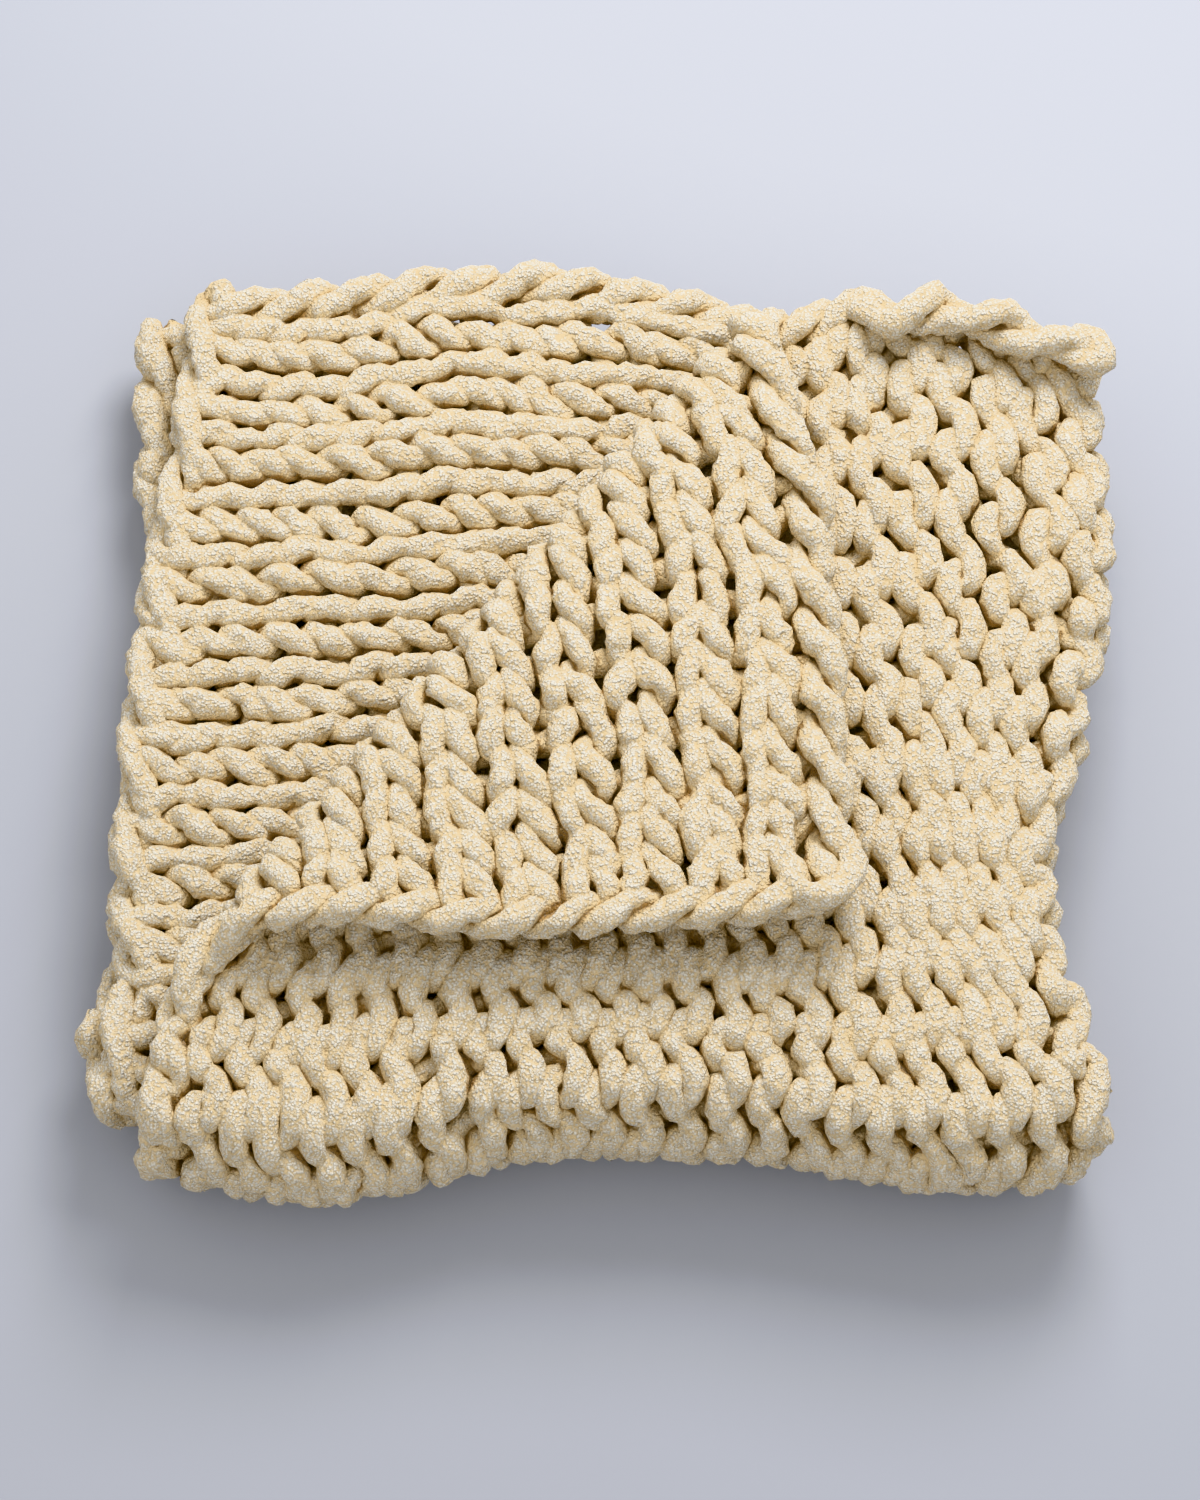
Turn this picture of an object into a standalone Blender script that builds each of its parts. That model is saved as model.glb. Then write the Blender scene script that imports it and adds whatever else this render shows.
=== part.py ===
"""Chunky knit blanket, folded in four, with one corner turned back.

The blanket is one knitted sheet. It is folded down the middle, so that its right edge is
a fold, and then folded again, so that its front edge wraps all four layers. The back left
corner of the top layer is turned back over its diagonal, and the rest of that layer's back
edge is curled up onto its face. Metres, +Z up, the blanket lying on z = 0.

A point of the cloth has a flat place (u, v) and a height m off the sheet's middle surface.
The top layer fills u < FOLD_U and v > FOLD_V; the other layers lie beyond those two lines.
"""
import math
from collections import namedtuple

import bmesh
import bpy
from mathutils import Vector

# Cloth and stack
CLOTH_THICK = 0.028
LAYER_STEP = 0.032
HALF_STEP = LAYER_STEP / 2
HALF_THICK = CLOTH_THICK / 2
STACK_MIDDLE = 1.5 * LAYER_STEP + HALF_THICK
STACK_TOP = 2 * STACK_MIDDLE
TOP_LAYER_MIDDLE = STACK_TOP - HALF_THICK
RIM_ROUND = 0.014
RIM_LEAST = 0.35

# The two folds: where each bend starts, and the length of cloth in it
RIGHT_EDGE = 0.360
FRONT_EDGE = -0.318
FOLD_U = RIGHT_EDGE - HALF_STEP - HALF_THICK
FOLD_V = FRONT_EDGE + 1.5 * LAYER_STEP + HALF_THICK
RIGHT_BEND = math.pi * HALF_STEP
FRONT_BEND = math.pi * LAYER_STEP

# The corner turned back: the visible fold line runs from the left edge to the back edge
TURN_RADIUS = 0.0175
TURN_FRONT = Vector((-0.294, -0.173))
TURN_BACK = Vector((0.119, 0.333))
TURN_ALONG = (TURN_BACK - TURN_FRONT).normalized()
TURN_ACROSS = Vector((-TURN_ALONG.y, TURN_ALONG.x))
TURN_START = TURN_FRONT - TURN_ACROSS * (TURN_RADIUS + HALF_THICK)
TURN_BEND = math.pi * TURN_RADIUS
TURN_CUTS = 6
HEM_LIFT = 0.014
HEM_LIFT_REACH = 0.10
HEM_LIFT_FROM = 0.5

# The curled back edge
CURL_RADIUS = 0.0175
CURL_FULL = math.radians(200)
CURL_LEAST = math.radians(1)
CURL_IN_FROM = 0.160
CURL_IN_TO = 0.245
CURL_OUT_FROM = 0.285
CURL_OUT_TO = 0.328
CURL_LEAN = 0.030
CURL_LEAN_FROM = 0.210
CURL_LEAN_TO = 0.240

# How far in from the edges the uneven outline reaches
RIGHT_WARP_FROM = 0.18
FRONT_WARP_FROM = -0.17
LOWER_LAYERS_Z = 0.046
UPPER_LAYERS_Z = 0.078
SWELL = 0.004
Wave = namedtuple("Wave", "across along phase")
SWELL_WAVES = (Wave(9.0, 4.0, 0.6), Wave(5.0, -11.0, 2.1))

# Mesh density
TOP_COLUMNS = 24
TOP_ROWS = 18
UNDER_COLUMNS = 12
UNDER_ROWS = 11
RIGHT_BEND_STEPS = 6
FRONT_BEND_STEPS = 8
RIM_STEPS = (0.0, 0.004, 0.012)
CURL_STEPS = (0.0, 0.004, 0.012, 0.021, 0.030, 0.039, 0.048, 0.058, 0.070)
SETTLE_PASSES = 12
CUT_TOLERANCE = 1e-4

Edge = namedtuple("Edge", "along place")

# Left free edge of the top layer and, past the front bend, of the bottom layer
LEFT_EDGE = (
    Edge(0.30, -0.347), Edge(0.25, -0.345), Edge(0.11, -0.331), Edge(0.03, -0.314),
    Edge(-0.07, -0.290), Edge(-0.13, -0.280), Edge(-0.20, -0.305), Edge(-0.25, -0.319),
    Edge(-0.31, -0.325), Edge(-0.36, -0.330), Edge(-0.45, -0.338), Edge(-0.60, -0.330),
    Edge(-0.80, -0.340), Edge(-0.97, -0.345),
)
# Back free edge of the top layer and, past the right bend, of the second layer
BACK_EDGE = (
    Edge(-0.346, 0.292), Edge(-0.27, 0.307), Edge(-0.18, 0.321), Edge(-0.05, 0.337),
    Edge(0.03, 0.336), Edge(0.11, 0.326), Edge(0.15, 0.320), Edge(0.18, 0.333),
    Edge(0.215, 0.356), Edge(0.25, 0.369), Edge(0.29, 0.356), Edge(0.31, 0.316),
    Edge(0.328, 0.277), Edge(0.36, 0.266), Edge(0.40, 0.274), Edge(0.45, 0.292),
    Edge(0.50, 0.307), Edge(0.55, 0.326), Edge(0.60, 0.346), Edge(0.71, 0.374),
    Edge(0.80, 0.380), Edge(0.88, 0.370), Edge(0.94, 0.365), Edge(1.02, 0.362),
)
# Left free edges of the second layer and, past the front bend, of the third
UNDER_LEFT_EDGE = (
    Edge(0.37, -0.309), Edge(0.27, -0.320), Edge(0.13, -0.339), Edge(0.03, -0.348),
    Edge(-0.12, -0.350), Edge(-0.17, -0.342), Edge(-0.22, -0.356), Edge(-0.27, -0.362),
    Edge(-0.34, -0.360), Edge(-0.40, -0.368), Edge(-0.46, -0.352), Edge(-0.60, -0.335),
    Edge(-0.74, -0.336), Edge(-0.85, -0.352), Edge(-0.97, -0.350),
)
# Back free edge of the bottom layer and, past the right bend, of the third
BOTTOM_BACK_EDGE = (
    Edge(-0.35, 0.335), Edge(-0.15, 0.340), Edge(0.05, 0.330), Edge(0.20, 0.305),
    Edge(0.33, 0.262), Edge(0.38, 0.258), Edge(0.50, 0.300), Edge(0.65, 0.335),
    Edge(0.85, 0.348), Edge(1.02, 0.345),
)
# How far the right folds stand out from RIGHT_EDGE, from back to front
UPPER_RIGHT_WARP = (
    Edge(0.26, 0.010), Edge(0.19, 0.012), Edge(0.11, 0.014), Edge(0.06, 0.004),
    Edge(-0.02, -0.017), Edge(-0.07, -0.032), Edge(-0.12, -0.038), Edge(-0.17, -0.032),
    Edge(-0.22, -0.016), Edge(-0.29, -0.003), Edge(-0.33, -0.010),
)
LOWER_RIGHT_WARP = (
    Edge(0.27, -0.018), Edge(0.10, -0.014), Edge(0.00, -0.034), Edge(-0.12, -0.048),
    Edge(-0.22, -0.020), Edge(-0.33, -0.008),
)
# How far the front fold stands in from FRONT_EDGE, from left to right
FRONT_WARP = (
    Edge(-0.34, 0.012), Edge(-0.28, -0.005), Edge(-0.19, -0.017), Edge(-0.14, -0.008),
    Edge(-0.07, 0.013), Edge(0.0, 0.017), Edge(0.11, 0.013), Edge(0.18, -0.001),
    Edge(0.30, -0.008), Edge(0.36, 0.008),
)

CREAM = (0.82, 0.73, 0.55, 1.0)
YARN_ROUGHNESS = 0.95


def clamp01(x):
    return min(max(x, 0.0), 1.0)


def ease(x):
    t = clamp01(x)
    return t * t * (3 - 2 * t)


def mix(a, b, t):
    return a + (b - a) * t


def read_edge(rows, along):
    """The smooth curve through a table's rows, level past both of its ends."""
    rows = sorted(rows)
    if along <= rows[0].along:
        return rows[0].place
    if along >= rows[-1].along:
        return rows[-1].place
    k = max(i for i, row in enumerate(rows[:-1]) if row.along <= along)
    here, there = rows[k], rows[k + 1]
    before, after = rows[max(k - 1, 0)], rows[min(k + 2, len(rows) - 1)]
    span = there.along - here.along
    t = (along - here.along) / span
    slope_here = (there.place - before.place) / (there.along - before.along)
    slope_there = (after.place - here.place) / (after.along - here.along)
    return ((2 * t**3 - 3 * t**2 + 1) * here.place + (t**3 - 2 * t**2 + t) * span * slope_here
            + (3 * t**2 - 2 * t**3) * there.place + (t**3 - t**2) * span * slope_there)


# ---------------------------------------------------------------- outline of the flat cloth
def left_limit(v):
    return read_edge(LEFT_EDGE, v)


def right_limit(v):
    return 2 * FOLD_U + RIGHT_BEND - read_edge(UNDER_LEFT_EDGE, v)


def back_limit(u):
    return read_edge(BACK_EDGE, u)


def front_limit(u):
    return 2 * FOLD_V - FRONT_BEND - read_edge(BOTTOM_BACK_EDGE, u)


# ---------------------------------------------------------------- from flat to folded
def curl_angle(u):
    """How far round the back edge of the top layer curls at this place along it."""
    rising = ease((u - CURL_IN_FROM) / (CURL_IN_TO - CURL_IN_FROM))
    falling = ease((u - CURL_OUT_FROM) / (CURL_OUT_TO - CURL_OUT_FROM))
    return CURL_FULL * rising * (1 - falling)


def curl_back_edge(u, v, n):
    """y and z of a point in the upper two layers, with the back edge curled up."""
    flat_z = TOP_LAYER_MIDDLE - HALF_STEP + n
    full = curl_angle(u)
    start = back_limit(u) - CURL_RADIUS * full
    if v <= start or full < CURL_LEAST:
        return v, flat_z
    angle = (v - start) / CURL_RADIUS
    radius = CURL_RADIUS + HALF_STEP - n
    return start + radius * math.sin(angle), flat_z + radius * (1 - math.cos(angle))


def turn_corner(u, v, m):
    """A point of the top layer past the diagonal fold, laid back over the layer."""
    flat = Vector((u, v))
    past = (flat - TURN_START).dot(TURN_ACROSS)
    foot = flat - TURN_ACROSS * past
    angle = min(past, TURN_BEND) / TURN_RADIUS
    radius = TURN_RADIUS - m
    reach = radius * math.sin(angle) - max(past - TURN_BEND, 0.0)
    z = TOP_LAYER_MIDDLE + TURN_RADIUS - radius * math.cos(angle)
    hem = clamp01(1 - (u - left_limit(v)) / HEM_LIFT_REACH)
    z += HEM_LIFT * hem**2 * ease(past / TURN_BEND - HEM_LIFT_FROM)
    spot = foot + TURN_ACROSS * reach
    return spot.x, spot.y, z


def lay_sandwich(u, v, m):
    """x, y and z after both folds, with the curl and the turned corner."""
    past_right = u - FOLD_U
    past_front = FOLD_V - v
    turned = (Vector((u, v)) - TURN_START).dot(TURN_ACROSS)
    if past_right < 0 and turned > 0:
        return turn_corner(u, v, m)
    angle = clamp01(past_right / RIGHT_BEND) * math.pi
    offset = HALF_STEP + m
    x = min(u, FOLD_U) + offset * math.sin(angle) - max(past_right - RIGHT_BEND, 0.0)
    n = offset * math.cos(angle)
    if past_front <= 0:
        y, z = curl_back_edge(u, v, n)
        return x, y, z
    angle = min(past_front / FRONT_BEND, 1.0) * math.pi
    radius = LAYER_STEP + n
    y = FOLD_V - radius * math.sin(angle) + max(past_front - FRONT_BEND, 0.0)
    return x, y, STACK_MIDDLE + radius * math.cos(angle)


def swell(x, y):
    """The soft rise and fall of the stack's top."""
    rises = [math.sin(wave.across * x + wave.along * y + wave.phase) for wave in SWELL_WAVES]
    return sum(rises) / len(rises)


def warp(x, y, z):
    """Push the folded stack to its uneven outline."""
    upper = ease((z - LOWER_LAYERS_Z) / (UPPER_LAYERS_Z - LOWER_LAYERS_Z))
    right = mix(read_edge(LOWER_RIGHT_WARP, y), read_edge(UPPER_RIGHT_WARP, y), upper)
    leaning = ease((y - CURL_LEAN_FROM) / (CURL_LEAN_TO - CURL_LEAN_FROM))
    right += CURL_LEAN * clamp01((z - STACK_TOP) / (2 * CURL_RADIUS)) * leaning
    right *= ease((x - RIGHT_WARP_FROM) / (RIGHT_EDGE - RIGHT_WARP_FROM))
    front = read_edge(FRONT_WARP, x) * ease((FRONT_WARP_FROM - y) / (FRONT_WARP_FROM - FRONT_EDGE))
    return Vector((x + right, y + front, z + SWELL * swell(x, y) * clamp01(z / STACK_TOP)))


def place(u, v, m):
    return warp(*lay_sandwich(u, v, m))


# ---------------------------------------------------------------- the mesh
def spaced(start, end, steps):
    return [mix(start, end, k / steps) for k in range(1, steps + 1)]


def line_positions(first, near_steps, fold, bend, last, near_count, bend_count, far_count):
    """Grid lines from one free edge, over a fold, to the other free edge."""
    way = 1 if last > first else -1
    near = [first + way * step for step in near_steps]
    far = [last - way * step for step in reversed(RIM_STEPS)]
    lines = near + spaced(near[-1], fold, near_count)
    lines += spaced(fold, fold + way * bend, bend_count)
    return lines + spaced(lines[-1], far[0], far_count) + far[1:]


def flat_spot(i, j):
    """The flat place of grid crossing i, j, settled against both uneven edges."""
    u, v = 0.0, 0.0
    for _ in range(SETTLE_PASSES):
        u = line_positions(left_limit(v), RIM_STEPS, FOLD_U, RIGHT_BEND, right_limit(v),
                           TOP_COLUMNS, RIGHT_BEND_STEPS, UNDER_COLUMNS)[i]
        v = line_positions(back_limit(u), CURL_STEPS, FOLD_V, FRONT_BEND, front_limit(u),
                           TOP_ROWS, FRONT_BEND_STEPS, UNDER_ROWS)[j]
    return u, v


def rim_factor(u, v):
    """Thickness share left near a free edge, which is rounded."""
    nearest = min(u - left_limit(v), right_limit(v) - u, back_limit(u) - v, v - front_limit(u))
    inward = clamp01(nearest / RIM_ROUND)
    return RIM_LEAST + (1 - RIM_LEAST) * math.sqrt(1 - (1 - inward) ** 2)


def flat_cloth():
    """The flat sheet as a grid, cut along lines where the corner turns back."""
    columns = 2 * len(RIM_STEPS) - 2 + TOP_COLUMNS + RIGHT_BEND_STEPS + UNDER_COLUMNS
    rows = len(CURL_STEPS) + len(RIM_STEPS) - 2 + TOP_ROWS + FRONT_BEND_STEPS + UNDER_ROWS
    bm = bmesh.new()
    bmesh.ops.create_grid(bm, x_segments=columns, y_segments=rows, size=0.5)
    for vert in bm.verts:
        i = round((vert.co.x + 0.5) * columns)
        j = round((0.5 - vert.co.y) * rows)
        u, v = flat_spot(i, j)
        vert.co = (u, v, 0.0)
    for k in range(TURN_CUTS + 1):
        spot = TURN_START + TURN_ACROSS * (TURN_BEND * k / TURN_CUTS)
        bmesh.ops.bisect_plane(bm, geom=bm.faces[:] + bm.edges[:] + bm.verts[:], dist=CUT_TOLERANCE,
                               plane_co=spot.to_3d(), plane_no=TURN_ACROSS.to_3d())
    bmesh.ops.triangulate(bm, faces=bm.faces[:])
    return bm


def fold_cloth(bm):
    """Thicken the flat sheet and carry both of its skins to the folded shape."""
    under = set(bm.verts)
    grown = bmesh.ops.extrude_face_region(bm, geom=bm.faces[:], use_keep_orig=True)
    over = {item for item in grown["geom"] if isinstance(item, bmesh.types.BMVert)}
    for verts, side in ((under, -1), (over, 1)):
        for vert in verts:
            u, v = vert.co.x, vert.co.y
            vert.co = place(u, v, side * HALF_THICK * rim_factor(u, v))
    bmesh.ops.recalc_face_normals(bm, faces=bm.faces[:])


def yarn_material():
    material = bpy.data.materials.new("blanket_yarn")
    material.use_nodes = True
    shader = material.node_tree.nodes["Principled BSDF"]
    shader.inputs["Base Color"].default_value = CREAM
    shader.inputs["Roughness"].default_value = YARN_ROUGHNESS
    shader.inputs["Metallic"].default_value = 0.0
    return material


def centre_on_floor(bm):
    """Put the origin under the middle of the stack."""
    xs = [vert.co.x for vert in bm.verts]
    ys = [vert.co.y for vert in bm.verts]
    zs = [vert.co.z for vert in bm.verts]
    shift = Vector(((min(xs) + max(xs)) / 2, (min(ys) + max(ys)) / 2, min(zs)))
    bmesh.ops.translate(bm, verts=bm.verts[:], vec=-shift)


def make_blanket():
    bm = flat_cloth()
    fold_cloth(bm)
    centre_on_floor(bm)
    mesh = bpy.data.meshes.new("blanket")
    bm.to_mesh(mesh)
    bm.free()
    mesh.shade_smooth()
    blanket = bpy.data.objects.new("blanket", mesh)
    blanket.data.materials.append(yarn_material())
    bpy.context.scene.collection.objects.link(blanket)
    return blanket


def clear_scene():
    for item in list(bpy.data.objects):
        bpy.data.objects.remove(item, do_unlink=True)


clear_scene()
make_blanket()
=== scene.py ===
"""Chunky knit blanket, folded in four with one corner turned back.

The blanket is knitted from one thick velvety yarn. Every course, which is a row of
stitches, is a strand laid in the flat cloth, and the cloth's own two folds, turned corner and
curled edge carry it to its place. A place in the flat cloth is a course number, a wale number,
which counts stitches along the course, and a height off the sheet's middle surface. The smooth
side of the knit is below the middle surface of the top layer.
"""
import functools
import math

from collections import namedtuple

import bmesh
import bpy
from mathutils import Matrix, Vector, noise
from mathutils.kdtree import KDTree


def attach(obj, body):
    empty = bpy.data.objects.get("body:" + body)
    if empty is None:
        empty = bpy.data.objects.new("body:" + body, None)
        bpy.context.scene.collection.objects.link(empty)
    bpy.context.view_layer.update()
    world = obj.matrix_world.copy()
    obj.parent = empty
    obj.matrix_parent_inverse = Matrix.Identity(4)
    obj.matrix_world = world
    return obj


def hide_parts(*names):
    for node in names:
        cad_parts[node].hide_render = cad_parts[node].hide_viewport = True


bl_info = {
    "name": "Chunky knit blanket",
    "version": (1, 0, 0),
    "blender": (4, 5, 0),
    "location": "View3D > Sidebar > Blanket",
    "description": "Knits a thick folded blanket strand by strand round its plain solid",
    "category": "Add Mesh",
}

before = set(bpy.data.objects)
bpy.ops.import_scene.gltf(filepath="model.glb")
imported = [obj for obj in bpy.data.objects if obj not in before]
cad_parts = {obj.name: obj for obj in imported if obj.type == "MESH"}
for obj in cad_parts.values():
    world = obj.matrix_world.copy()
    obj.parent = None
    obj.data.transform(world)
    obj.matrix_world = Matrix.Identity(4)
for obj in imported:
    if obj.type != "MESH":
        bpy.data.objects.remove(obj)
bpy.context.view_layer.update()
BODY = "root"
NODE = "blanket"

# ---------------------------------------------------------------- the folded cloth
LAYER_STEP = 0.032
CLOTH_THICK = 0.028
HALF_STEP = LAYER_STEP / 2
HALF_THICK = CLOTH_THICK / 2
STACK_MIDDLE = 1.5 * LAYER_STEP + HALF_THICK
STACK_TOP = 2 * STACK_MIDDLE
TOP_LAYER_MIDDLE = STACK_TOP - HALF_THICK

RIGHT_EDGE = 0.360
FRONT_EDGE = -0.318
FOLD_U = RIGHT_EDGE - HALF_STEP - HALF_THICK
FOLD_V = FRONT_EDGE + 1.5 * LAYER_STEP + HALF_THICK
RIGHT_BEND = math.pi * HALF_STEP
FRONT_BEND = math.pi * LAYER_STEP

TURN_RADIUS = 0.0175
TURN_FRONT = Vector((-0.294, -0.173))
TURN_BACK = Vector((0.119, 0.333))
TURN_ALONG = (TURN_BACK - TURN_FRONT).normalized()
TURN_ACROSS = Vector((-TURN_ALONG.y, TURN_ALONG.x))
TURN_START = TURN_FRONT - TURN_ACROSS * (TURN_RADIUS + HALF_THICK)
TURN_BEND = math.pi * TURN_RADIUS
HEM_LIFT = 0.014
HEM_LIFT_REACH = 0.10
HEM_LIFT_FROM = 0.5

CURL_RADIUS = 0.0175
CURL_FULL = math.radians(200)
CURL_LEAST = math.radians(1)
CURL_IN_FROM = 0.162
CURL_IN_TO = 0.215
CURL_OUT_FROM = 0.335
CURL_OUT_TO = 0.372
CURL_LEAN = 0.030
CURL_LEAN_FROM = 0.210
CURL_LEAN_TO = 0.240

RIGHT_WARP_FROM = 0.18
FRONT_WARP_FROM = -0.17
LOWER_LAYERS_Z = 0.046
UPPER_LAYERS_Z = 0.078
SWELL = 0.004
Wave = namedtuple("Wave", "across along phase")
SWELL_WAVES = (Wave(9.0, 4.0, 0.6), Wave(5.0, -11.0, 2.1))
STACK_CENTRE = Vector((0.003934, 0.022782, 0.0))

Edge = namedtuple("Edge", "along place")


def in_order(*rows):
    return tuple(sorted(rows))


LEFT_EDGE = in_order(
    Edge(0.30, -0.347), Edge(0.25, -0.345), Edge(0.11, -0.331), Edge(0.03, -0.314),
    Edge(-0.07, -0.290), Edge(-0.13, -0.280), Edge(-0.20, -0.305), Edge(-0.25, -0.319),
    Edge(-0.31, -0.325), Edge(-0.36, -0.330), Edge(-0.45, -0.338), Edge(-0.60, -0.330),
    Edge(-0.80, -0.340), Edge(-0.97, -0.345),
)
BACK_EDGE = in_order(
    Edge(-0.346, 0.292), Edge(-0.27, 0.307), Edge(-0.18, 0.321), Edge(-0.05, 0.337),
    Edge(0.03, 0.336), Edge(0.11, 0.326), Edge(0.15, 0.328), Edge(0.18, 0.344),
    Edge(0.215, 0.360), Edge(0.25, 0.364), Edge(0.29, 0.350), Edge(0.325, 0.334),
    Edge(0.345, 0.314), Edge(0.365, 0.292), Edge(0.40, 0.282), Edge(0.45, 0.294),
    Edge(0.50, 0.307), Edge(0.55, 0.326), Edge(0.60, 0.346), Edge(0.71, 0.374),
    Edge(0.80, 0.380), Edge(0.88, 0.370), Edge(0.94, 0.365), Edge(1.02, 0.362),
)
UNDER_LEFT_EDGE = in_order(
    Edge(0.37, -0.309), Edge(0.27, -0.320), Edge(0.13, -0.339), Edge(0.03, -0.348),
    Edge(-0.12, -0.350), Edge(-0.17, -0.342), Edge(-0.22, -0.356), Edge(-0.27, -0.362),
    Edge(-0.34, -0.360), Edge(-0.40, -0.368), Edge(-0.46, -0.352), Edge(-0.60, -0.335),
    Edge(-0.74, -0.336), Edge(-0.85, -0.352), Edge(-0.97, -0.350),
)
BOTTOM_BACK_EDGE = in_order(
    Edge(-0.35, 0.335), Edge(-0.15, 0.340), Edge(0.05, 0.330), Edge(0.20, 0.305),
    Edge(0.33, 0.262), Edge(0.38, 0.258), Edge(0.50, 0.300), Edge(0.65, 0.335),
    Edge(0.85, 0.348), Edge(1.02, 0.345),
)
UPPER_RIGHT_WARP = in_order(
    Edge(0.26, 0.010), Edge(0.19, 0.012), Edge(0.11, 0.014), Edge(0.06, 0.004),
    Edge(-0.02, -0.017), Edge(-0.07, -0.032), Edge(-0.12, -0.038), Edge(-0.17, -0.032),
    Edge(-0.22, -0.016), Edge(-0.29, -0.003), Edge(-0.33, -0.010),
)
LOWER_RIGHT_WARP = in_order(
    Edge(0.27, -0.018), Edge(0.10, -0.014), Edge(0.00, -0.034), Edge(-0.12, -0.048),
    Edge(-0.22, -0.020), Edge(-0.33, -0.008),
)
FRONT_WARP = in_order(
    Edge(-0.34, 0.012), Edge(-0.28, -0.005), Edge(-0.19, -0.017), Edge(-0.14, -0.008),
    Edge(-0.07, 0.013), Edge(0.0, 0.017), Edge(0.11, 0.013), Edge(0.18, -0.001),
    Edge(0.30, -0.008), Edge(0.36, 0.008),
)


def clamp01(x):
    return min(max(x, 0.0), 1.0)


def ease(x):
    t = clamp01(x)
    return t * t * (3 - 2 * t)


def mix(a, b, t):
    return a + (b - a) * t


def read_edge(rows, along):
    """The smooth curve through a table's rows, level past both of its ends."""
    if along <= rows[0].along:
        return rows[0].place
    if along >= rows[-1].along:
        return rows[-1].place
    k = 0
    while rows[k + 1].along <= along:
        k += 1
    here, there = rows[k], rows[k + 1]
    before, after = rows[max(k - 1, 0)], rows[min(k + 2, len(rows) - 1)]
    span = there.along - here.along
    t = (along - here.along) / span
    slope_here = (there.place - before.place) / (there.along - before.along)
    slope_there = (after.place - here.place) / (after.along - here.along)
    return ((2 * t**3 - 3 * t**2 + 1) * here.place + (t**3 - 2 * t**2 + t) * span * slope_here
            + (3 * t**2 - 2 * t**3) * there.place + (t**3 - t**2) * span * slope_there)


def left_limit(v):
    return read_edge(LEFT_EDGE, v)


def right_limit(v):
    return 2 * FOLD_U + RIGHT_BEND - read_edge(UNDER_LEFT_EDGE, v)


def back_limit(u):
    return read_edge(BACK_EDGE, u)


def front_limit(u):
    return 2 * FOLD_V - FRONT_BEND - read_edge(BOTTOM_BACK_EDGE, u)


def curl_angle(u):
    """How far round the back edge of the top layer curls at this place along it."""
    rising = ease((u - CURL_IN_FROM) / (CURL_IN_TO - CURL_IN_FROM))
    falling = ease((u - CURL_OUT_FROM) / (CURL_OUT_TO - CURL_OUT_FROM))
    return CURL_FULL * rising * (1 - falling)


def curl_back_edge(u, v, n):
    """y and z of a point in the upper two layers, with the back edge curled up."""
    flat_z = TOP_LAYER_MIDDLE - HALF_STEP + n
    full = curl_angle(u)
    start = back_limit(u) - CURL_RADIUS * full
    if v <= start or full < CURL_LEAST:
        return v, flat_z
    angle = (v - start) / CURL_RADIUS
    radius = CURL_RADIUS + HALF_STEP - n
    return start + radius * math.sin(angle), flat_z + radius * (1 - math.cos(angle))


def past_turn(u, v):
    """How far the flat place lies past the line where the corner turns back."""
    return (Vector((u, v)) - TURN_START).dot(TURN_ACROSS)


def turn_corner(u, v, m):
    """A point of the top layer past the diagonal fold, laid back over the layer."""
    flat = Vector((u, v))
    past = past_turn(u, v)
    foot = flat - TURN_ACROSS * past
    angle = min(past, TURN_BEND) / TURN_RADIUS
    radius = TURN_RADIUS - m
    reach = radius * math.sin(angle) - max(past - TURN_BEND, 0.0)
    z = TOP_LAYER_MIDDLE + TURN_RADIUS - radius * math.cos(angle)
    hem = clamp01(1 - (u - left_limit(v)) / HEM_LIFT_REACH)
    z += HEM_LIFT * hem**2 * ease(past / TURN_BEND - HEM_LIFT_FROM)
    spot = foot + TURN_ACROSS * reach
    return spot.x, spot.y, z


def lay_sandwich(u, v, m):
    """x, y and z after both folds, with the curl and the turned corner."""
    past_right = u - FOLD_U
    past_front = FOLD_V - v
    if past_right < 0 and past_turn(u, v) > 0:
        return turn_corner(u, v, m)
    angle = clamp01(past_right / RIGHT_BEND) * math.pi
    offset = HALF_STEP + m
    x = min(u, FOLD_U) + offset * math.sin(angle) - max(past_right - RIGHT_BEND, 0.0)
    n = offset * math.cos(angle)
    if past_front <= 0:
        y, z = curl_back_edge(u, v, n)
        return x, y, z
    angle = min(past_front / FRONT_BEND, 1.0) * math.pi
    radius = LAYER_STEP + n
    y = FOLD_V - radius * math.sin(angle) + max(past_front - FRONT_BEND, 0.0)
    return x, y, STACK_MIDDLE + radius * math.cos(angle)


def swell(x, y):
    """The soft rise and fall of the stack's top."""
    rises = [math.sin(wave.across * x + wave.along * y + wave.phase) for wave in SWELL_WAVES]
    return sum(rises) / len(rises)


def warp(x, y, z):
    """Push the folded stack to its uneven outline."""
    upper = ease((z - LOWER_LAYERS_Z) / (UPPER_LAYERS_Z - LOWER_LAYERS_Z))
    right = mix(read_edge(LOWER_RIGHT_WARP, y), read_edge(UPPER_RIGHT_WARP, y), upper)
    leaning = ease((y - CURL_LEAN_FROM) / (CURL_LEAN_TO - CURL_LEAN_FROM))
    right += CURL_LEAN * clamp01((z - STACK_TOP) / (2 * CURL_RADIUS)) * leaning
    right *= ease((x - RIGHT_WARP_FROM) / (RIGHT_EDGE - RIGHT_WARP_FROM))
    front = read_edge(FRONT_WARP, x) * ease((FRONT_WARP_FROM - y) / (FRONT_WARP_FROM - FRONT_EDGE))
    return Vector((x + right, y + front, z + SWELL * swell(x, y) * clamp01(z / STACK_TOP)))


def place(u, v, m):
    return warp(*lay_sandwich(u, v, m)) - STACK_CENTRE


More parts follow.
